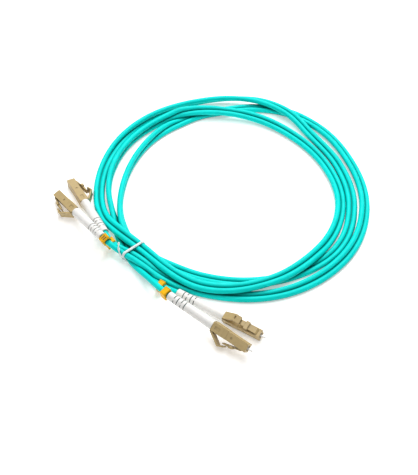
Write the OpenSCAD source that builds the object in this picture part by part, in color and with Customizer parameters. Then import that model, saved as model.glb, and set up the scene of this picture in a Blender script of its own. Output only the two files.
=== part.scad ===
// Duplex fibre optic patch cord, two LC plugs at each end, stored as a tied coil.
// Units are millimetres. The cord lies on the plane z = 0 and +Z points up.
// The origin is the middle of the whole cord's footprint, at the level of the table.

/* [Plug housing] */
// Length of one plug from its front face to the rear end of its boot
plug_len = 50; // [46:0.5:52]
// Square section of the front housing
front_w = 4.5; // [4.4:0.05:4.6]
// Length of the front housing
front_len = 14.6; // [14:0.1:15]
// Square section of the rear body
rear_w = 4.8; // [4.7:0.1:5.2]
// Distance from the front face to the rear end of the rear body
body_len = 21.3; // [20.8:0.1:22]
// Bore around the ferrule at the front face
nose_bore_d = 2.8; // [2.7:0.05:3.1]

/* [Ferrule and spring] */
// Diameter of the ceramic ferrule
ferrule_d = 1.25; // [1.2:0.01:1.3]
// Length of ferrule that stands out of the front face
ferrule_out = 2.6; // [2.2:0.1:3]
// Turns of the ferrule's spring
spring_turns = 5; // [4:1:6]
// Wire diameter of the spring
spring_wire = 0.36; // [0.3:0.02:0.4]

/* [Latch and trigger] */
// Width of the latch arm in front of its lugs
latch_w = 3; // [2.4:0.1:3.2]
// Width across the latch lugs
lug_w = 4.3; // [4:0.1:4.5]
// Height of the trigger's bend above the plug's axis
trigger_top = 7.5; // [7:0.1:7.8]
// Width of the trigger
trigger_w = 4; // [3.8:0.1:4.4]

/* [Boot and marker] */
// Boot diameter where it meets the rear body
boot_d1 = 5.4; // [5:0.1:5.6]
// Boot diameter at the cable end
boot_d2 = 4.6; // [4.4:0.1:5]
// Width of the slots round the boot
slot_w = 0.5; // [0.4:0.1:0.8]
// Length of the clip that marks a leg
marker_len = 3.4; // [3:0.1:3.6]
// Square section of the marker clip
marker_w = 4.8; // [4.6:0.1:5]

/* [Cord] */
// Diameter of one jacket of the duplex cord
jacket_d = 3.1; // [3:0.05:3.15]
// Diameter of the buffered fibre inside
buffer_d = 0.9; // [0.8:0.05:0.95]
// Height of the bundle at the tie
bundle_h = 7; // [6.8:0.1:7.4]
// Width of the twist tie's strip
tie_w = 1.5; // [1.2:0.1:2]

/* [Hidden] */
$fn = 32;
eps = 0.01;
loose = 0.06;

// Colours.
aqua = [0.05, 0.72, 0.68];
beige = [0.72, 0.63, 0.42];
white_soft = [0.95, 0.95, 0.93];
ceramic = [0.97, 0.97, 0.95];
metal = [0.75, 0.75, 0.73];
brass = [0.78, 0.68, 0.42];
orange = [0.98, 0.65, 0.05];

// The middle of the coil on the table.
coil_mid = [11.076, 19.34, 0];

// Where each leg's plug lies: middle of its front face, from the coil's middle.
leg_names = ["a1", "b1", "a2", "b2"];
leg_pos = [[6.45, -118.34, 6], [13.14, -107.96, 3.1], [-91.41, 3.93, 2.4], [-97.6, -7.1, 3.1]];
// Heading of the plug on the table, droop of its nose, roll of its latch side.
leg_head = [-38.67, -33.71, 117.23, 125.28];
leg_droop = [3.54, 0, 4.87, 8.46];
leg_roll = [134, 18, 91, -110];

// Stations back along a plug's axis.
shoulder_x = 3.2;
shoulder_t = 0.7;
flange_x = 4;
flange_t = 1.2;
tail_end = 9.6;
crimp_front = 10.8;
sleeve_front = 21.6;
sleeve_end = 27.4;
jacket_start = 28.4;
ferrule_back = 4.2;
hub_front = shoulder_x - 0.8;
seat_d = ferrule_d - 0.4;
spring_r = 1.15;
hub_d = 1.9;
flange_d = 2.8;
tail_d = 1.7;
tail_bore_d = 1.06;
chamber_d = 3.1;

// Latch stations, back from the front face.
latch_root = 2.4;
latch_t = 0.7;
lug_x1 = 6.6;
lug_x2 = 8.6;
latch_end = 12.6;
latch_rise = 2.2;

// Trigger stations, forward from the rear end of the rear body.
bend_x = 7.3;
trigger_t = 0.8;
trigger_tip_x = 10.3;
trigger_tip_z = 6.3;
notch_w = 1.6;

// Legs of the cord, from behind each boot to the tied bundle, from the coil's middle.
lead_a1 = [
  [-34.2, -85.8, 9.2],
  [-38.5, -80.6, 8.3],
  [-43.2, -72.8, 6],
  [-48.6, -64.8, 4.4],
  [-53.2, -59, 2.7]
];
lead_b1 = [
  [-32.6, -78, 3],
  [-37.3, -75.6, 2.9],
  [-42.8, -69.4, 2.3],
  [-47.6, -61.6, 1.9],
  [-50.7, -56.3, 2.1]
];
lead_a2 = [
  [-67.4, -42.9, 6.4],
  [-65.2, -46.9, 5.3],
  [-61.6, -50.2, 5.3],
  [-57, -52.2, 5.3]
];
lead_b2 = [
  [-67.5, -49.5, 10.8],
  [-64.6, -52.3, 9.6],
  [-61.2, -54.2, 7.6],
  [-57.4, -55.8, 6]
];
lead_routes = [lead_a1, lead_b1, lead_a2, lead_b2];
// Which point of its leg each marker clip sits at, and its roll.
marker_at = [0, 1, 1, 0];
marker_roll = [-12, -10, 10, 22];

// The coil's outer shape at twelve stations, clockwise from the tie.
tie_angle = 225;
coil_step = 30;
coil_in = [66.9, 60.5, 59, 59.6, 61.8, 59.8, 55.4, 55.2, 59, 65.3, 70.6, 66.9];
coil_out = [80.4, 76.6, 78.5, 82.3, 83.2, 80.5, 80.7, 78.5, 78.8, 84.5, 86.2, 81.6];
coil_top = [bundle_h + 0.6, 7.9, 6.8, 6.8, 6.2, 6.6, 5.7, 5.7, 5.9, 7.3, 7.9, 8.4];
coil_low = [0.6, 0, 0, 0, 0, 0, 0, 0, 0, 0, 0, 0];
// How far the bundle draws in just past the tie, and where, in stations.
waist = 2.8;
waist_at = 0.4;
waist_len = 0.25;

// ---------- shared shapes ----------

// A bar along the plug's axis, centred on it, from station a back to station b.
module bar(a, b, w, h) {
  translate([-b, -w / 2, -h / 2])
    cube([b - a, w, h]);
}

// A round bar along the plug's axis.
module rod(a, b, d) {
  translate([-b, 0, 0])
    rotate([0, 90, 0])
      cylinder(d = d, h = b - a);
}

// A side outline given as station and height, extruded across the plug.
module profile(points, w) {
  translate([0, w / 2, 0])
    rotate([90, 0, 0])
      linear_extrude(w)
        polygon([for (p = points) [-p[0], p[1]]]);
}

// Smooth curve through hand-chosen points.
function spline(a, b, c, d, t) =
  0.5 * (2 * b + (c - a) * t + (2 * a - 5 * b + 4 * c - d) * t * t + (3 * b - a - 3 * c + d) * t * t * t);

function at(list, i) = list[max(0, min(len(list) - 1, i))];

function path_points(list, n) = [
  for (i = [0 : len(list) - 2])
    for (k = [0 : n - 1])
      spline(at(list, i - 1), list[i], list[i + 1], at(list, i + 2), k / n),
  list[len(list) - 1]
];

function unit(v) = v / norm(v);

function heading_at(path, i) =
  unit(path[min(len(path) - 1, i + 1)] - path[max(0, i - 1)]);

function side_at(path, i) = unit(cross([0, 0, 1], heading_at(path, i)));

function lift_at(path, i) = cross(heading_at(path, i), side_at(path, i));

// A round tube swept along a path.
module tube(path, d, sides) {
  points = [
    for (i = [0 : len(path) - 1])
      for (k = [0 : sides - 1])
        path[i] + d / 2 * (cos(360 * k / sides) * side_at(path, i) + sin(360 * k / sides) * lift_at(path, i))
  ];
  last = len(path) - 1;
  faces = concat(
    [[for (k = [0 : sides - 1]) k]],
    [[for (k = [0 : sides - 1]) last * sides + sides - 1 - k]],
    [
      for (i = [0 : last - 1])
        for (k = [0 : sides - 1])
          let (a = i * sides, b = a + sides, m = (k + 1) % sides)
          [a + k, b + k, b + m, a + m]
    ]
  );
  polyhedron(points, faces, 4);
}

// Moves a plug piece from its own axis to where the leg's plug lies.
module on_leg(i) {
  translate(coil_mid + leg_pos[i])
    rotate([0, 0, leg_head[i]])
      rotate([0, leg_droop[i], 0])
        rotate([leg_roll[i], 0, 0])
          children();
}

// Direction a plug points in, and a point on its axis.
function leg_dir(i) = [
  cos(leg_head[i]) * cos(leg_droop[i]),
  sin(leg_head[i]) * cos(leg_droop[i]),
  -sin(leg_droop[i])
];

function on_axis(i, back) = coil_mid + leg_pos[i] - back * leg_dir(i);

// ---------- plug pieces, along -X from the front face, latch side up ----------

module front_housing() {
  color(beige)
    difference() {
      union() {
        bar(0, front_len, front_w, front_w);
        bar(front_len - 2.4, front_len, rear_w - 0.1, rear_w - 0.1);
      }
      rod(-eps, shoulder_x, nose_bore_d);
      rod(shoulder_x - eps, shoulder_x + shoulder_t + eps, hub_d + 0.2);
      rod(shoulder_x + shoulder_t, front_len + eps, chamber_d);
      // Dimple on each side face.
      for (s = [-1, 1])
        translate([-9.3, s * front_w / 2, 0])
          rotate([90, 0, 0])
            cylinder(d = 1.2, h = 0.5, center = true);
    }
}

module latch_arm() {
  face = front_w / 2;
  end_z = face + latch_rise;
  color(beige)
    union() {
      // Root and sloping arm.
      profile([
        [latch_root - 0.9, face],
        [latch_root, face],
        [lug_x2, face + latch_rise * (lug_x2 - latch_root) / (latch_end - latch_root)],
        [lug_x2, face + latch_rise * (lug_x2 - latch_root) / (latch_end - latch_root) + latch_t],
        [latch_root, face + latch_t]
      ], latch_w);
      // Lugs that catch in the adapter.
      profile([
        [lug_x1, face + latch_rise * (lug_x1 - latch_root) / (latch_end - latch_root)],
        [lug_x2, face + latch_rise * (lug_x2 - latch_root) / (latch_end - latch_root)],
        [lug_x2, face + latch_rise + 0.45],
        [lug_x1, face + latch_rise + 0.15]
      ], lug_w);
      // Narrow end that the trigger presses.
      profile([
        [lug_x2 - 0.4, face + latch_rise * (lug_x2 - 0.4 - latch_root) / (latch_end - latch_root)],
        [latch_end, end_z],
        [latch_end, end_z + latch_t - 0.1],
        [lug_x2 - 0.4, end_z + 0.2]
      ], latch_w - 0.4);
    }
}

module rear_body() {
  color(beige)
    difference() {
      bar(front_len, body_len, rear_w, rear_w);
      rod(front_len - eps, body_len + eps, chamber_d + 0.3);
      // Recess round the seam with the front housing, on both sides.
      for (s = [-1, 1])
        translate([-17.9, s * rear_w / 2, 0])
          cube([3, 0.4, 1.6], center = true);
    }
}

module trigger_arm() {
  face = rear_w / 2;
  bend = body_len - bend_x;
  tip = body_len - trigger_tip_x;
  color(beige)
    difference() {
      union() {
        // Ramp from the rear end up to the bend.
        profile([
          [body_len, face],
          [body_len, face + 0.5],
          [bend + 0.2, trigger_top],
          [bend, trigger_top - trigger_t],
          [body_len - 1.2, face]
        ], trigger_w);
        // Bar that runs forward and down over the end of the latch.
        profile([
          [bend + 0.2, trigger_top],
          [tip, trigger_tip_z],
          [tip, trigger_tip_z - trigger_t],
          [bend, trigger_top - trigger_t]
        ], trigger_w);
      }
      // Thumb notch in the bar.
      translate([-bend, 0, trigger_top])
        rotate([0, 45, 0])
          cube([1, notch_w, 1], center = true);
    }
}

module ferrule() {
  color(ceramic)
    difference() {
      union() {
        rod(0.4 - ferrule_out, hub_front, ferrule_d);
        // Stretch held in the flange's hub.
        rod(hub_front - eps, ferrule_back, seat_d);
        translate([ferrule_out - 0.4 - eps, 0, 0])
          rotate([0, 90, 0])
            cylinder(d1 = ferrule_d, d2 = 0.85, h = 0.4);
      }
      rod(ferrule_back - 0.5, ferrule_back + eps, 0.4);
    }
}

module ferrule_flange() {
  color(metal)
    difference() {
      union() {
        rod(hub_front, flange_x + eps, hub_d);
        // Six-sided collar keys the ferrule in its housing.
        translate([-flange_x - flange_t, 0, 0])
          rotate([0, 90, 0])
            cylinder(d = flange_d, h = flange_t, $fn = 6);
        rod(flange_x + flange_t - eps, tail_end, tail_d);
      }
      rod(shoulder_x - 1, ferrule_back, seat_d);
      rod(ferrule_back - eps, tail_end + eps, tail_bore_d);
    }
}

module spring() {
  a = flange_x + flange_t + spring_wire / 2;
  b = crimp_front - spring_wire / 2;
  n = 12;
  path = [
    for (i = [0 : n * spring_turns])
      [-a - (b - a) * i / (n * spring_turns), spring_r * cos(360 * i / n), spring_r * sin(360 * i / n)]
  ];
  color(metal)
    tube_about_axis(path, spring_wire, 6);
}

// A wire swept round the plug's axis, its rings lying in planes through that axis.
module tube_about_axis(path, d, sides) {
  last = len(path) - 1;
  points = [
    for (p = path)
      for (k = [0 : sides - 1])
        p + d / 2 * (cos(360 * k / sides) * unit([0, p[1], p[2]]) + sin(360 * k / sides) * [-1, 0, 0])
  ];
  faces = concat(
    [[for (k = [0 : sides - 1]) sides - 1 - k]],
    [[for (k = [0 : sides - 1]) last * sides + k]],
    [
      for (i = [0 : last - 1])
        for (k = [0 : sides - 1])
          let (a = i * sides, b = a + sides, m = (k + 1) % sides)
          [a + k, a + m, b + m, b + k]
    ]
  );
  polyhedron(points, faces, 4);
}

module crimp_body() {
  color(brass)
    difference() {
      union() {
        rod(crimp_front, front_len, chamber_d - 2 * loose);
        rod(front_len, body_len, chamber_d + 0.3);
        rod(body_len, sleeve_end, 2.5);
      }
      rod(crimp_front - eps, sleeve_end + eps, tail_bore_d);
    }
}

module crimp_sleeve() {
  color(metal)
    difference() {
      rod(sleeve_front, sleeve_end, 3.5);
      rod(sleeve_front - eps, sleeve_end + eps, 2.5);
      // Two rolled grooves.
      for (x = [23.2, 25.3])
        translate([-x, 0, 0])
          rotate([0, 90, 0])
            rotate_extrude($fn = 48)
              translate([1.75, 0])
                circle(d = 0.3, $fn = 16);
    }
}

module buffered_fibre() {
  color([0.1, 0.8, 0.75])
    rod(5.6, jacket_start, buffer_d);
}

module boot() {
  slots = [4, 6.2, 8.6, 10.8];
  color(white_soft)
    difference() {
      union() {
        rod(body_len, body_len + 3, boot_d1);
        translate([-plug_len, 0, 0])
          rotate([0, 90, 0])
            cylinder(d1 = boot_d2, d2 = boot_d1, h = plug_len - body_len - 3 + eps);
      }
      rod(body_len - eps, sleeve_end + 0.6, 3.6);
      rod(sleeve_end, plug_len + eps, jacket_d + 2 * loose);
      for (i = [0 : 3])
        for (s = [-1, 1])
          translate([-plug_len + slots[i], 0, 0])
            rotate([90 * ((i + 1) % 2), 0, 0])
              translate([-slot_w / 2, s > 0 ? 0.55 : -3.55, -3])
                cube([slot_w, 3, 6]);
    }
}

// ---------- pieces that lie in the cord's own frame ----------

function lead_path(i) = path_points(
  concat(
    [on_axis(i, jacket_start), on_axis(i, (jacket_start + plug_len) / 2), on_axis(i, plug_len)],
    [for (p = lead_routes[i]) coil_mid + p]
  ), 2);

module lead_cable(i) {
  color(aqua)
    tube(lead_path(i), jacket_d, 8);
}

// Moves a clip from its own axis to its place on the leg.
module on_lead(i) {
  path = lead_path(i);
  k = 2 * (3 + marker_at[i]);
  run = heading_at(path, k);
  translate(path[k])
    rotate([0, -asin(run[2]), atan2(run[1], run[0])])
      rotate([marker_roll[i], 0, 0])
        children();
}

module marker_clip() {
  color(orange)
    difference() {
      bar(-marker_len / 2, marker_len / 2, marker_w, marker_w);
      rod(-marker_len, marker_len, jacket_d + 2 * loose);
      // Mouth that snaps over the jacket.
      translate([0, 0, -marker_w / 2])
        cube([marker_len + 1, 1.8, marker_w - jacket_d + 0.6], center = true);
      // Frame round the flat face that carries the leg's mark.
      translate([0, 0, marker_w / 2])
        difference() {
          cube([marker_len - 0.5, marker_w - 0.6, 0.2], center = true);
          cube([marker_len - 0.9, marker_w - 1, 0.4], center = true);
        }
    }
}

// Value of a coil table between its stations, with a smooth run.
function coil_value(table, s) =
  let (n = len(table), i = floor(s), t = s - i)
  spline(table[(i + n - 1) % n], table[i % n], table[(i + 1) % n], table[(i + 2) % n], t);

function coil_ring(s) =
  let (
    a = coil_value(coil_in, s),
    b = coil_value(coil_out, s) - waist * exp(-pow((s - waist_at) / waist_len, 2)),
    h = coil_value(coil_top, s),
    l = max(0, coil_value(coil_low, s)),
    c = 1.5,
    w = tie_angle - coil_step * s
  )
  [
    for (p = [[a + c, l], [b - c, l], [b, l + c], [b, h - c], [b - c, h], [a + c, h], [a, h - c], [a, l + c]])
      coil_mid + [p[0] * cos(w), p[0] * sin(w), p[1]]
  ];

module cord_coil() {
  n = 36;
  sides = 8;
  points = [for (i = [0 : n - 1]) each coil_ring(12 * i / n)];
  faces = [
    for (i = [0 : n - 1])
      for (k = [0 : sides - 1])
        let (a = i * sides, b = (i + 1) % n * sides, m = (k + 1) % sides)
        [a + k, a + m, b + m, b + k]
  ];
  color(aqua)
    polyhedron(points, faces, 4);
}

// Rounded rectangle made of squares and circles.
module rounded(x1, x2, y1, y2, r) {
  translate([x1 + r, y1])
    square([x2 - x1 - 2 * r, y2 - y1]);
  translate([x1, y1 + r])
    square([x2 - x1, y2 - y1 - 2 * r]);
  for (x = [x1 + r, x2 - r])
    for (y = [y1 + r, y2 - r])
      translate([x, y])
        circle(r);
}

module twist_tie() {
  t = 0.6;
  a = coil_in[0] + 0.2;
  b = coil_out[0] - 0.3;
  l = coil_low[0] + 0.1;
  h = coil_top[0] - 0.1;
  tail = [[b + 0.4, 0, 3], [b + 3.2, -1.2, 4.8], [b + 3.6, -2.6, 7.6], [b + 1.8, -4.4, 10.6], [b, -5.4, 12.6]];
  color(white_soft)
    translate(coil_mid)
      rotate([0, 0, tie_angle])
        union() {
          translate([0, tie_w / 2, 0])
            rotate([90, 0, 0])
              linear_extrude(tie_w)
                difference() {
                  rounded(a - t, b + t, l - t, h + t, 2);
                  rounded(a, b, l, h, 1.4);
                }
          // Twisted ends of the strip.
          tube(path_points(tail, 3), 1.2, 8);
        }
}

// ---------- the assembly ----------

pieces = [
  "front_housing", "latch_arm", "rear_body", "trigger_arm", "ferrule", "ferrule_flange",
  "spring", "crimp_body", "crimp_sleeve", "buffered_fibre", "boot", "marker_clip", "lead_cable"
];

cord_coil();
twist_tie();

for (i = [0 : 3]) {
  on_leg(i) front_housing();
  on_leg(i) latch_arm();
  on_leg(i) rear_body();
  on_leg(i) trigger_arm();
  on_leg(i) ferrule();
  on_leg(i) ferrule_flange();
  on_leg(i) spring();
  on_leg(i) crimp_body();
  on_leg(i) crimp_sleeve();
  on_leg(i) buffered_fibre();
  on_leg(i) boot();
  on_lead(i) marker_clip();
  lead_cable(i);
}
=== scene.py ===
import math

import bpy
import numpy as np
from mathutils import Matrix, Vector

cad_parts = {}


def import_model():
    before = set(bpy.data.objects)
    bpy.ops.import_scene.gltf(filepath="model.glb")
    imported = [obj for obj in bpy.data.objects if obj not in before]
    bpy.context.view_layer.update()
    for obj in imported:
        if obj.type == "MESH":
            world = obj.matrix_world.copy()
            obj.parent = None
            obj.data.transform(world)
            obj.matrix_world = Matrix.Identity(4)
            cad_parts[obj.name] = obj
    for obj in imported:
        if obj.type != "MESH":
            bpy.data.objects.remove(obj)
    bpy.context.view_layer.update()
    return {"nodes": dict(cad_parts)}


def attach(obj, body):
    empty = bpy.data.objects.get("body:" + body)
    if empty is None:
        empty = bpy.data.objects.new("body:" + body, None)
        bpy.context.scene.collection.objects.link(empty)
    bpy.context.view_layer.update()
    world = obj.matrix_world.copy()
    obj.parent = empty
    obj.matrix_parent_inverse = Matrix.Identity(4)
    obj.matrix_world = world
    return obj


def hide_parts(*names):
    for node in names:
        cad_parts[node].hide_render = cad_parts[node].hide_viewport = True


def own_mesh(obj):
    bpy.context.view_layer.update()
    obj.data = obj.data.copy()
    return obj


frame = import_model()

MM = 0.001
rad = math.radians
NODES = frame["nodes"]
LEGS = ("a1", "b1", "a2", "b2")
UP = np.array([0.0, 0.0, 1.0])

# ---------------------------------------------------------------- where things lie (mm)

COIL_MID = np.array([11.076, 19.34, 0.0])
START_ANGLE = 227.0
TIE_ANGLE = 225.0
JACKET = 3.1
PITCH = 3.3
PLUG_LEN = 50.0
IN_BOOT = (28.4, 39.2)  # how far behind a plug's face its jacket starts, and a point on the way out
# Each plug's face, from the coil's middle, and its heading, droop and roll in degrees.
LEG_POS = {
    "a1": (6.45, -118.34, 6), "b1": (13.14, -107.96, 3.1),
    "a2": (-91.41, 3.93, 2.4), "b2": (-97.6, -7.1, 3.1),
}
LEG_TURN = {
    "a1": (-38.67, 3.54, 134), "b1": (-33.71, 0, 18),
    "a2": (117.23, 4.87, 91), "b2": (125.28, 8.46, -110),
}

# Each pass of the pair round the coil: angle swept from the tie, radius, height, roll of the pair.
TURNS = [
    (0, 77.0, 2.2, 0), (15, 71.9, 2.8, 25), (30, 69.2, 3.4, 80), (45, 69.4, 3.4, 90), (60, 69.8, 3.3, 90),
    (90, 70.8, 3.3, 90), (105, 70.0, 4.2, 70), (120, 67.8, 5.5, 30), (135, 64.8, 4.9, 8),
    (150, 62.8, 3.7, 15), (180, 58.7, 2.1, 5), (210, 58.5, 1.9, -10), (240, 62.6, 2.2, -22),
    (270, 68.0, 3.5, -25), (285, 71.7, 5.1, -12), (300, 75.6, 5.3, 0),
    (330, 78.6, 5.1, -6), (345, 74.2, 5.5, 0), (360, 70.3, 5.5, 0),
    (375, 72.6, 6.2, 0), (385, 74.4, 4.7, 0), (395, 74.9, 2.4, 0), (405, 74.9, 1.7, 0), (420, 75.3, 1.9, 8),
    (440, 76.4, 3.0, 55), (460, 77.8, 3.3, 92), (480, 78.2, 3.5, 120), (500, 78.2, 4.4, 140),
    (512, 77.0, 5.0, 160),
    (526, 73.2, 4.6, 175), (542, 67.2, 2.4, 180), (570, 65.4, 1.75, 182), (600, 68.9, 1.75, 184),
    (630, 74.2, 1.75, 180), (645, 74.0, 1.65, 180), (660, 73.2, 1.65, 180), (690, 70.3, 1.7, 180),
    (705, 69.0, 1.8, 182), (720, 70.0, 2.2, 182),
    (730, 69.4, 2.6, 215), (740, 67.2, 3.2, 250), (752, 64.2, 3.3, 268), (767, 61.4, 3.3, 272),
    (790, 60.4, 3.3, 272), (808, 61.9, 3.2, 258), (820, 63.8, 2.6, 230), (832, 66.0, 1.8, 200),
    (842, 67.6, 1.65, 184),
    (852, 68.8, 1.65, 180),
    (870, 73.8, 1.65, 180), (885, 76.4, 1.65, 178), (900, 75.4, 2.0, 168), (930, 72.9, 2.3, 160),
    (960, 76.0, 2.4, 155), (990, 80.9, 2.4, 150), (1020, 83.0, 1.9, 170), (1050, 79.6, 1.65, 180),
    (1065, 78.3, 3.4, 180), (1072, 77.7, 5.0, 180), (1080, 77.05, 5.5, 180),
]
# The split legs, from behind each boot to the tied bundle, from the coil's middle.
LEAD = {
    "a1": [(-34.2, -85.8, 9.2), (-38.5, -80.6, 8.3), (-43.2, -72.8, 6), (-48.6, -64.8, 4.4),
           (-53.2, -59, 2.7)],
    "b1": [(-32.6, -78, 3), (-37.3, -75.6, 2.9), (-42.8, -69.4, 2.3), (-47.6, -61.6, 1.9),
           (-50.7, -56.3, 2.1)],
    "a2": [(-67.4, -42.9, 6.4), (-65.2, -46.9, 5.3), (-61.6, -50.2, 5.3), (-57, -52.2, 5.3)],
    "b2": [(-67.5, -49.5, 10.8), (-64.6, -52.3, 9.6), (-61.2, -54.2, 7.6), (-57.4, -55.8, 6)],
}


def rot(axis, degrees):
    c, s = math.cos(rad(degrees)), math.sin(rad(degrees))
    if axis == "x":
        return np.array([[1, 0, 0], [0, c, -s], [0, s, c]])
    if axis == "y":
        return np.array([[c, 0, s], [0, 1, 0], [-s, 0, c]])
    return np.array([[c, -s, 0], [s, c, 0], [0, 0, 1]])


LEG_MATRIX = {n: rot("z", LEG_TURN[n][0]) @ rot("y", LEG_TURN[n][1]) @ rot("x", LEG_TURN[n][2]) for n in LEGS}


def leg_point(leg, p):
    """A point given along a plug (x forward, z to its latch), in mm from the coil's middle."""
    return np.array(LEG_POS[leg], float) + LEG_MATRIX[leg] @ np.array(p, float)


# ---------------------------------------------------------------- the route of the two jackets

TURN_STEP = 1.25  # degrees between two points of a turn
ROUTE_STEP = 1.5  # and between two points of a leg, in mm
SPLINE_STEPS = 12
ROUNDS = 70
SAME_RUN = 9  # points this near along one jacket don't push each other
HELD, FREE = 18, 24  # points at each end that stay put, and where they move freely
PAIR_PULL = 0.35
TIE_LIFT, TIE_SPAN = 0.7, 5  # the bundle lies this much higher under the tie, over so many degrees
EASE_FROM, EASE_PAST, EASE_ROUNDS = 14, 6, 24


def smooth_rows(rows, step):
    """Rows of (angle, values) made into even steps of angle on a smooth curve."""
    rows = np.array(rows, float)
    s, v = rows[:, 0], rows[:, 1:]
    d = (v[1:] - v[:-1]) / (s[1:] - s[:-1])[:, None]
    m = np.zeros_like(v)
    m[0], m[-1] = d[0], d[-1]
    for i in range(1, len(s) - 1):
        h0, h1 = s[i] - s[i - 1], s[i + 1] - s[i]
        m[i] = (d[i - 1] * h1 + d[i] * h0) / (h0 + h1)
    out = []
    for x in np.arange(s[0], s[-1] + 1e-9, step):
        i = min(int(np.searchsorted(s, x, side="right")) - 1, len(s) - 2)
        h = s[i + 1] - s[i]
        t = (x - s[i]) / h
        out.append(np.concatenate([[x], (2 * t**3 - 3 * t**2 + 1) * v[i] + (t**3 - 2 * t**2 + t) * h * m[i]
                                   + (3 * t**2 - 2 * t**3) * v[i + 1] + (t**3 - t**2) * h * m[i + 1]]))
    return np.array(out)


def catmull(points, n):
    """A Catmull-Rom curve through the points, n steps for each stretch."""
    p = np.array(points, float)
    out = []
    for i in range(len(p) - 1):
        a, b, c, d = p[max(i - 1, 0)], p[i], p[i + 1], p[min(i + 2, len(p) - 1)]
        for k in range(n):
            t = k / n
            out.append(0.5 * (2 * b + (c - a) * t + (2 * a - 5 * b + 4 * c - d) * t * t
                              + (3 * b - a - 3 * c + d) * t**3))
    out.append(p[-1])
    return np.array(out)


def even(p, gap):
    """The same line with its points about one gap apart."""
    s = np.concatenate([[0], np.cumsum(np.linalg.norm(np.diff(p, axis=0), axis=1))])
    q = np.linspace(0, s[-1], int(round(s[-1] / gap)) + 1)
    return np.stack([np.interp(q, s, p[:, i]) for i in range(3)], 1)


def jacket_routes():
    """Both jackets' turns, side by side at the roll of the pair."""
    a, b = [], []
    for swept, radius, height, roll in smooth_rows(TURNS, TURN_STEP):
        out = np.array([math.cos(rad(START_ANGLE - swept)), math.sin(rad(START_ANGLE - swept)), 0])
        mid = radius * out + height * UP
        half = PITCH / 2 * (math.cos(rad(roll)) * out + math.sin(rad(roll)) * UP)
        a.append(mid + half)
        b.append(mid - half)
    return np.array(a), np.array(b)


def leg_route(leg):
    """Points from inside a boot to the bundle."""
    inside = [leg_point(leg, (-x, 0, 0)) for x in (*IN_BOOT, PLUG_LEN)]
    return inside + [np.array(p, float) for p in LEAD[leg]]


def whole(start, turns, end):
    """One jacket from end to end, and how many points its two legs have."""
    head = leg_route(start) + [turns[0], turns[3]]
    tail = [turns[-4], turns[-1]] + leg_route(end)[::-1]
    h = even(catmull(head, SPLINE_STEPS)[:-SPLINE_STEPS], ROUTE_STEP)
    t = even(catmull(tail, SPLINE_STEPS)[SPLINE_STEPS:], ROUTE_STEP)
    return np.concatenate([h[:-1], turns, t[1:]]), len(h) - 1, len(t) - 1


def settle(a, b, ends):
    """Eases the jackets apart where they lie in each other, and keeps them on the table and side by side."""
    n = len(a)
    p = np.concatenate([a, b])
    start = p.copy()
    index = np.concatenate([np.arange(n), np.arange(len(b))])
    which = np.concatenate([np.zeros(n), np.ones(len(b))])
    near = (np.abs(index[:, None] - index[None]) < SAME_RUN) & (which[:, None] == which[None])
    free = np.ones(len(p))
    for lo, size in ((0, n), (n, len(b))):
        for k in range(FREE):
            free[lo + k] = free[lo + size - 1 - k] = max(0, (k - HELD) / (FREE - HELD))
    ha, ta, hb, tb = ends
    pair_a = np.arange(ha, n - ta)
    pair_b = n + np.arange(hb, len(b) - tb)
    for _ in range(ROUNDS):
        gap = p[:, None] - p[None]
        dist = np.sqrt((gap**2).sum(2)) + near * 99.0 + 1e-9
        i, j = np.nonzero(dist < JACKET)
        move = np.zeros_like(p)
        weight = np.zeros(len(p))
        d = dist[i, j]
        push = gap[i, j] / d[:, None] * ((JACKET - d) * 0.5)[:, None]
        np.add.at(move, i, push)
        np.add.at(weight, i, 1.0)
        move /= np.maximum(weight, 1)[:, None]
        side = p[pair_a] - p[pair_b]
        length = np.linalg.norm(side, axis=1)[:, None]
        pull = side / length * (length - PITCH) * PAIR_PULL
        move[pair_a] -= pull
        move[pair_b] += pull
        for lo, size in ((0, n), (n, len(b))):
            m = move[lo:lo + size]
            for _k in range(3):
                m[1:-1] = (m[:-2] + 2 * m[1:-1] + m[2:]) / 4
        p += move * free[:, None]
        angle = np.degrees(np.arctan2(p[:, 1], p[:, 0])) % 360
        floor = JACKET / 2 + TIE_LIFT * np.exp(-((angle - TIE_ANGLE) / TIE_SPAN) ** 2)
        low = np.maximum(floor - p[:, 2], 0) * (free > 0)
        p[:, 2] += low
        for lo, size in ((0, n), (n, len(b))):
            q = p[lo:lo + size] - start[lo:lo + size]
            q[1:-1] = (q[:-2] + 6 * q[1:-1] + q[2:]) / 8
            p[lo:lo + size] = start[lo:lo + size] + q
    return ease(p[:n], ha, ta), ease(p[n:], hb, tb)


def ease(p, head, tail):
    """Takes the sharper bends out of the legs, leaving the stretches inside the boots alone."""
    n = len(p)
    weight = np.zeros(n)
    for length, at in ((head, lambda k: k), (tail, lambda k: n - 1 - k)):
        for k in range(EASE_FROM, length + EASE_PAST):
            weight[at(k)] = min((k - EASE_FROM) / 3, 1, (length + EASE_PAST - k) / 4)
    for _ in range(EASE_ROUNDS):
        q = p.copy()
        q[1:-1] = (p[:-2] + 2 * p[1:-1] + p[2:]) / 4
        p = p + (q - p) * weight[:, None]
    return p


turn_a, turn_b = jacket_routes()
route_a, ha, ta = whole("a1", turn_a, "a2")
route_b, hb, tb = whole("b1", turn_b, "b2")
route_a, route_b = settle(route_a, route_b, (ha, ta, hb, tb))


# ---------------------------------------------------------------- camera

LOOK = Vector((-0.001474, -0.01833, 0.0))
ELEVATION, REACH = rad(46), 0.55
LENS = 76.547  # mm, for a sensor 36 mm on its longer side


def aim(obj, at):
    obj.rotation_euler = (Vector(at) - obj.location).to_track_quat("-Z", "Y").to_euler()


cam = bpy.data.objects.new("camera", bpy.data.cameras.new("camera"))
bpy.context.scene.collection.objects.link(cam)
bpy.context.scene.camera = cam
cam.location = LOOK + Vector((0, -math.cos(ELEVATION), math.sin(ELEVATION))) * REACH
cam.data.lens = LENS
cam.data.clip_start = 0.01
aim(cam, LOOK)

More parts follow.
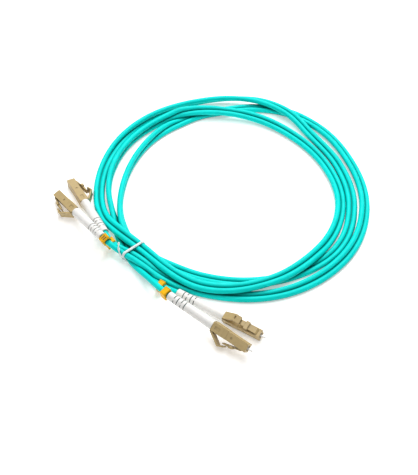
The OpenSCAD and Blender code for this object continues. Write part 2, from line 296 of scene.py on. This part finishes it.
# ---------------------------------------------------------------- materials


BUMP_DEPTH = 0.0002
SCATTER = (0.0012, 0.001, 0.0009)


def material(name, base, dark, rough, noise=900, bump=0.02, bump_scale=2500, edge=0.0, metallic=0.0,
             subsurface=0.0, spec=0.5, crevice_shade=0.0, shade_depth=0.25):
    """A procedural finish: two tones mixed by noise, roughness that varies, fine bump and softened edges.

    Painted shade in crevices: where another surface lies nearer than the crevice reach, the base colour is
    darkened towards the shade depth times its darker tone.
    """
    m = bpy.data.materials.new(name)
    m.use_nodes = True
    tree = m.node_tree
    n, link = tree.nodes, tree.links
    b = n["Principled BSDF"]
    where = n.new("ShaderNodeTexCoord")
    broad = n.new("ShaderNodeTexNoise")
    broad.inputs["Scale"].default_value = noise
    broad.inputs["Detail"].default_value = 4
    fine = n.new("ShaderNodeTexNoise")
    fine.inputs["Scale"].default_value = bump_scale
    fine.inputs["Detail"].default_value = 3
    link.new(where.outputs["Object"], broad.inputs["Vector"])
    link.new(where.outputs["Object"], fine.inputs["Vector"])
    ramp = n.new("ShaderNodeValToRGB")
    ramp.color_ramp.elements[0].position = 0.3
    ramp.color_ramp.elements[1].position = 0.7
    ramp.color_ramp.elements[0].color = (*dark, 1)
    ramp.color_ramp.elements[1].color = (*base, 1)
    link.new(broad.outputs["Fac"], ramp.inputs["Fac"])
    # painted shade: the base colour darkens where other surfaces lie near, as in creases, gaps and floor
    # contact
    if crevice_shade > 0:
        occlusion = n.new("ShaderNodeAmbientOcclusion")
        occlusion.samples = 12
        occlusion.inputs["Distance"].default_value = crevice_shade
        painted_shade = n.new("ShaderNodeMix")
        painted_shade.data_type = "RGBA"
        painted_shade.inputs["A"].default_value = (*[c * shade_depth for c in dark], 1)
        link.new(occlusion.outputs["AO"], painted_shade.inputs["Factor"])
        link.new(ramp.outputs["Color"], painted_shade.inputs["B"])
        link.new(painted_shade.outputs["Result"], b.inputs["Base Color"])
    else:
        link.new(ramp.outputs["Color"], b.inputs["Base Color"])
    spread = n.new("ShaderNodeMapRange")
    spread.inputs["To Min"].default_value = max(rough - 0.06, 0.02)
    spread.inputs["To Max"].default_value = rough + 0.06
    link.new(fine.outputs["Fac"], spread.inputs["Value"])
    link.new(spread.outputs["Result"], b.inputs["Roughness"])
    relief = n.new("ShaderNodeBump")
    relief.inputs["Strength"].default_value = bump
    relief.inputs["Distance"].default_value = BUMP_DEPTH
    link.new(fine.outputs["Fac"], relief.inputs["Height"])
    if edge > 0:
        soft = n.new("ShaderNodeBevel")
        soft.samples = 6
        soft.inputs["Radius"].default_value = edge
        link.new(soft.outputs["Normal"], relief.inputs["Normal"])
    link.new(relief.outputs["Normal"], b.inputs["Normal"])
    b.inputs["Metallic"].default_value = metallic
    b.inputs["Specular IOR Level"].default_value = spec
    if subsurface > 0:
        b.inputs["Subsurface Weight"].default_value = subsurface
        b.inputs["Subsurface Radius"].default_value = SCATTER
        b.inputs["Subsurface Scale"].default_value = 1.0
    return m


# the jackets, mouldings and boots carry painted shade in their crevices
aqua = material("aqua_jacket", (0.0, 0.77, 0.71), (0.0, 0.69, 0.635), 0.5, noise=120, bump=0.05,
                bump_scale=1800, spec=0.1, crevice_shade=0.0024, shade_depth=0.15)
beige = material("beige_moulding", (0.50, 0.375, 0.175), (0.46, 0.34, 0.155), 0.45, noise=500, bump=0.04,
                 edge=0.00022, crevice_shade=0.0012, shade_depth=0.3)
white_boot = material("white_boot", (0.84, 0.83, 0.80), (0.80, 0.79, 0.765), 0.5, noise=300, bump=0.03,
                      edge=0.00012, subsurface=0.1, crevice_shade=0.001, shade_depth=0.35)
orange = material("orange_clip", (0.90, 0.50, 0.002), (0.85, 0.43, 0.001), 0.4, noise=600, bump=0.03,
                  edge=0.0003, spec=0.2)
ceramic = material("white_ceramic", (0.88, 0.88, 0.86), (0.86, 0.86, 0.84), 0.18, noise=800, bump=0.005,
                   edge=0.0001)
nickel = material("nickel_plate", (0.62, 0.60, 0.57), (0.55, 0.54, 0.52), 0.28, metallic=1.0)
brass = material("turned_brass", (0.62, 0.46, 0.20), (0.56, 0.41, 0.17), 0.3, metallic=1.0)
tie_white = material("tie_coating", (0.88, 0.93, 0.92), (0.82, 0.88, 0.87), 0.4, noise=700, bump=0.03)
ink = material("dark_ink", (0.05, 0.03, 0.02), (0.04, 0.025, 0.015), 0.55, bump=0.01)


def give(obj, mat):
    obj.data.materials.clear()
    obj.data.materials.append(mat)


def smooth(obj):
    obj.data.polygons.foreach_set("use_smooth", [True] * len(obj.data.polygons))
    obj.data.update()


FINISH = {
    "front_housing": beige, "rear_body": beige, "latch_arm": beige, "trigger_arm": beige,
    "ferrule": ceramic, "ferrule_flange": nickel, "spring": nickel, "crimp_body": brass,
    "crimp_sleeve": nickel, "buffered_fibre": aqua, "boot": white_boot, "marker_clip": orange,
    "lead_cable": aqua,
}
for leg in LEGS:
    for piece, mat in FINISH.items():
        give(NODES[leg + "_" + piece], mat)
give(NODES["cord_coil"], aqua)
give(NODES["twist_tie"], tie_white)

# ---------------------------------------------------------------- the jackets


def world(p):
    return (np.asarray(p, float) + COIL_MID) * MM


def jacket(name, route):
    curve = bpy.data.curves.new(name, "CURVE")
    curve.dimensions = "3D"
    line = curve.splines.new("POLY")
    pts = world(route)
    line.points.add(len(pts) - 1)
    line.points.foreach_set("co", np.c_[pts, np.ones(len(pts))].ravel())
    line.use_smooth = True
    curve.bevel_depth = JACKET / 2 * MM
    curve.bevel_resolution = 7
    curve.use_fill_caps = True
    curve.twist_mode = "MINIMUM"
    obj = bpy.data.objects.new(name, curve)
    bpy.context.scene.collection.objects.link(obj)
    give(obj, aqua)
    return obj


def mesh_object(name, verts, faces, mat):
    data = bpy.data.meshes.new(name)
    data.from_pydata([tuple(v) for v in verts], [], [tuple(f) for f in faces])
    data.validate()
    obj = bpy.data.objects.new(name, data)
    bpy.context.scene.collection.objects.link(obj)
    data.materials.append(mat)
    smooth(obj)
    return obj


jacket_a = jacket("jacket_a", route_a)
jacket_b = jacket("jacket_b", route_b)
for obj, leg, route, nodes in (
        (jacket_a, "a1", route_a, ("cord_coil", "a1_lead_cable", "a2_lead_cable")),
        (jacket_b, "b1", route_b, ("b1_lead_cable", "b2_lead_cable"))):
    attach(obj, "cord")
    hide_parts(*nodes)

# The thin web that joins the two jackets round the coil.
WEB_REACH, WEB_HALF = 0.7, 0.22
pa, pb = route_a[ha:len(route_a) - ta], route_b[hb:len(route_b) - tb]
mid = (pa + pb) / 2
side = (pa - pb) / np.linalg.norm(pa - pb, axis=1)[:, None]
run = np.gradient(mid, axis=0)
run /= np.linalg.norm(run, axis=1)[:, None]
thick = np.cross(run, side)
ring = [(WEB_REACH, WEB_HALF), (-WEB_REACH, WEB_HALF), (-WEB_REACH, -WEB_HALF), (WEB_REACH, -WEB_HALF)]
verts = [world(mid[i] + u * side[i] + v * thick[i]) for i in range(len(mid)) for u, v in ring]
faces = [(4 * i + k, 4 * i + (k + 1) % 4, 4 * i + 4 + (k + 1) % 4, 4 * i + 4 + k)
         for i in range(len(mid) - 1) for k in range(4)]
faces += [(3, 2, 1, 0), tuple(4 * (len(mid) - 1) + k for k in range(4))]
web = mesh_object("jacket_web", verts, faces, aqua)
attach(web, "cord")

# ---------------------------------------------------------------- the twist tie

NEAR_SIDE = 40  # the tie's cut counts only jackets this far out, so not the coil's far side
LOWEST = 0.02
BAND_IN, BAND_OUT, BAND_WIDTH = 1.56, 1.95, 1.4  # the flat coating, from a jacket's middle
CORE_IN, CORE_OUT, CORE_WIDTH = 1.7, 2.2, 0.5  # and the rib over the wire in it
TWIST = dict(rx=0.36, ry=0.24, spin=2.2, offset=0.24)

out_dir = np.array([math.cos(rad(TIE_ANGLE)), math.sin(rad(TIE_ANGLE)), 0])
run_dir = np.array([-out_dir[1], out_dir[0], 0])
cuts = []
for route in (route_a, route_b):
    along, away = route @ run_dir, route @ out_dir
    for i in range(len(route) - 1):
        if along[i] * along[i + 1] <= 0 and away[i] > NEAR_SIDE:
            t = along[i] / (along[i] - along[i + 1] + 1e-12)
            q = route[i] + t * (route[i + 1] - route[i])
            cuts.append((q @ out_dir, q[2]))
cuts = np.array(cuts)


def around(radius, steps=96):
    """The outline of a band pulled tight round the bundle, one radius out from the jackets' middles."""
    pts = []
    for k in range(steps):
        d = np.array([math.cos(2 * math.pi * k / steps), math.sin(2 * math.pi * k / steps)])
        q = cuts[np.argmax(cuts @ d)] + radius * d
        pts.append((q[0], max(q[1], LOWEST)))
    return np.array(pts)


def strip(inner, outer, width):
    """A closed strip round the bundle between two outlines."""
    n = len(inner)
    verts, faces = [], []
    for i in range(n):
        for line, w in ((inner, -width / 2), (inner, width / 2), (outer, width / 2), (outer, -width / 2)):
            verts.append(world(line[i][0] * out_dir + line[i][1] * UP + w * run_dir))
    for i in range(n):
        j = (i + 1) % n
        for k in range(4):
            faces.append((4 * i + k, 4 * j + k, 4 * j + (k + 1) % 4, 4 * i + (k + 1) % 4))
    return verts, faces


def skin(rings, sides):
    """The faces of a closed tube whose points come ring by ring."""
    faces = []
    for i in range(rings - 1):
        for k in range(sides):
            a, b = i * sides, (k + 1) % sides
            faces.append((a + k, a + b, a + sides + b, a + sides + k))
    faces.append(tuple(range(sides - 1, -1, -1)))
    faces.append(tuple(range((rings - 1) * sides, rings * sides)))
    return faces


def tube_mesh(path, rx, ry, sides=10, spin=0.0, phase=0.0, offset=0.0):
    """A tube of oval section along a path; with offset it winds round the path spin times."""
    path = np.asarray(path, float)
    verts = []
    n = len(path)
    run = np.gradient(path, axis=0)
    run /= np.linalg.norm(run, axis=1)[:, None]
    for i in range(n):
        a = np.cross(run[i], UP)
        if np.linalg.norm(a) < 0.2:
            a = np.cross(run[i], out_dir)
        a /= np.linalg.norm(a)
        b = np.cross(run[i], a)
        turn = phase + 2 * math.pi * spin * i / (n - 1)
        u = math.cos(turn) * a + math.sin(turn) * b
        v = -math.sin(turn) * a + math.cos(turn) * b
        c = path[i] + offset * u
        for k in range(sides):
            w = 2 * math.pi * k / sides
            verts.append(world(c + rx * math.cos(w) * u + ry * math.sin(w) * v))
    return verts, skin(n, sides)


def gather(*parts):
    """Several meshes as one."""
    verts, faces = [], []
    for v, f in parts:
        k = len(verts)
        verts += list(v)
        faces += [tuple(x + k for x in face) for face in f]
    return verts, faces


# The two ends, twisted together: points out from the coil's middle, along the bundle and up.
tail = [(81.0, 0, 3), (82.2, -0.6, 5.2), (82.5, -1.8, 8), (81.4, -3.5, 10.6), (80, -4.8, 12.6)]
tail = catmull([t[0] * out_dir + t[1] * run_dir + t[2] * UP for t in tail], 16)
tie = mesh_object("twist_tie_strip", *gather(
    strip(around(BAND_IN), around(BAND_OUT), BAND_WIDTH),
    strip(around(CORE_IN), around(CORE_OUT), CORE_WIDTH),
    tube_mesh(tail, **TWIST),
    tube_mesh(tail, phase=math.pi, **TWIST)), tie_white)
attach(tie, "cord")
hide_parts("twist_tie")

# ---------------------------------------------------------------- the ferrules' springs

SPRING_FRONT, SPRING_BACK, SPRING_TURNS = 5.2, 10.8, 5
SPRING_R, WIRE = 1.15, 0.36
TURN_POINTS, WIRE_SIDES = 24, 10


def spring_mesh(leg):
    """A helix of round wire along a plug's axis."""
    verts = []
    steps = TURN_POINTS * SPRING_TURNS
    for i in range(steps + 1):
        turn = 2 * math.pi * i / TURN_POINTS
        back = SPRING_FRONT + WIRE / 2 + (SPRING_BACK - SPRING_FRONT - WIRE) * i / steps
        for k in range(WIRE_SIDES):
            w = 2 * math.pi * k / WIRE_SIDES
            r = SPRING_R + WIRE / 2 * math.cos(w)
            x = -back - WIRE / 2 * math.sin(w)
            verts.append(world(leg_point(leg, (x, r * math.cos(turn), r * math.sin(turn)))))
    return verts, skin(steps + 1, WIRE_SIDES)


for leg in LEGS:
    coil = mesh_object(leg + "_spring_coil", *spring_mesh(leg), nickel)
    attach(coil, "cord")
    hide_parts(leg + "_spring")
    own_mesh(coil)

# ---------------------------------------------------------------- the mark on one clip

MARK_LEG, MARK_ROLL = "b2", 22
BAR_OFF, BAR_HALF_WIDE, BAR_HALF_LONG = 0.55, 0.28, 1.25
BAR_LOW, BAR_HIGH = 2.3, 2.44  # the clip's face is at 2.4

path = catmull(leg_route(MARK_LEG), 2)
run = path[7] - path[5]
run /= np.linalg.norm(run)
turn = (rot("z", math.degrees(math.atan2(run[1], run[0])))
        @ rot("y", -math.degrees(math.asin(run[2]))) @ rot("x", MARK_ROLL))
corners = ((-BAR_HALF_WIDE, -BAR_HALF_LONG), (BAR_HALF_WIDE, -BAR_HALF_LONG),
           (BAR_HALF_WIDE, BAR_HALF_LONG), (-BAR_HALF_WIDE, BAR_HALF_LONG))
verts, faces = [], []
for x in (-BAR_OFF, BAR_OFF):
    for z in (BAR_LOW, BAR_HIGH):
        for dx, y in corners:
            verts.append(world(path[6] + turn @ np.array([x + dx, y, z])))
for k in (0, 8):
    faces += [(k + 3, k + 2, k + 1, k), (k + 4, k + 5, k + 6, k + 7)]
    faces += [(k + i, k + (i + 1) % 4, k + 4 + (i + 1) % 4, k + 4 + i) for i in range(4)]
mark = mesh_object("marker_bars", verts, faces, ink)
mark.data.polygons.foreach_set("use_smooth", [False] * len(mark.data.polygons))
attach(mark, "cord")

# ---------------------------------------------------------------- floor and light

FLOOR = 6  # metres from the middle to each side

floor_data = bpy.data.meshes.new("floor")
floor_data.from_pydata([(-FLOOR, -FLOOR, 0), (FLOOR, -FLOOR, 0), (FLOOR, FLOOR, 0), (-FLOOR, FLOOR, 0)],
                       [], [(0, 1, 2, 3)])
floor = bpy.data.objects.new("floor", floor_data)
bpy.context.scene.collection.objects.link(floor)
paper = material("floor_paper", (0.90, 0.90, 0.90), (0.89, 0.89, 0.89), 0.7, noise=20, bump=0.0)
glow = paper.node_tree.nodes["Principled BSDF"]
glow.inputs["Emission Color"].default_value = (1, 0.985, 0.96, 1)
glow.inputs["Emission Strength"].default_value = 0.38
floor_data.materials.append(paper)


def area(name, at, side, power):
    """A square lamp aimed at the coil."""
    light = bpy.data.lights.new(name, "AREA")
    light.shape = "SQUARE"
    light.size = side
    light.energy = power
    obj = bpy.data.objects.new(name, light)
    bpy.context.scene.collection.objects.link(obj)
    obj.location = at
    aim(obj, (0, 0, 0))


area("key", (0.15, 0.7, 1.0), 0.6, 13)
area("top", (0, 0, 1.2), 0.8, 6.5)
area("fill", (-0.6, -0.7, 0.7), 0.8, 0.8)

scene = bpy.context.scene
sky = bpy.data.worlds.new("studio")
sky.use_nodes = True
sky.node_tree.nodes["Background"].inputs["Color"].default_value = (1, 1, 1, 1)
sky.node_tree.nodes["Background"].inputs["Strength"].default_value = 0.22
scene.world = sky
scene.view_settings.view_transform = "Standard"
scene.view_settings.look = "None"
scene.view_settings.exposure = 0.0
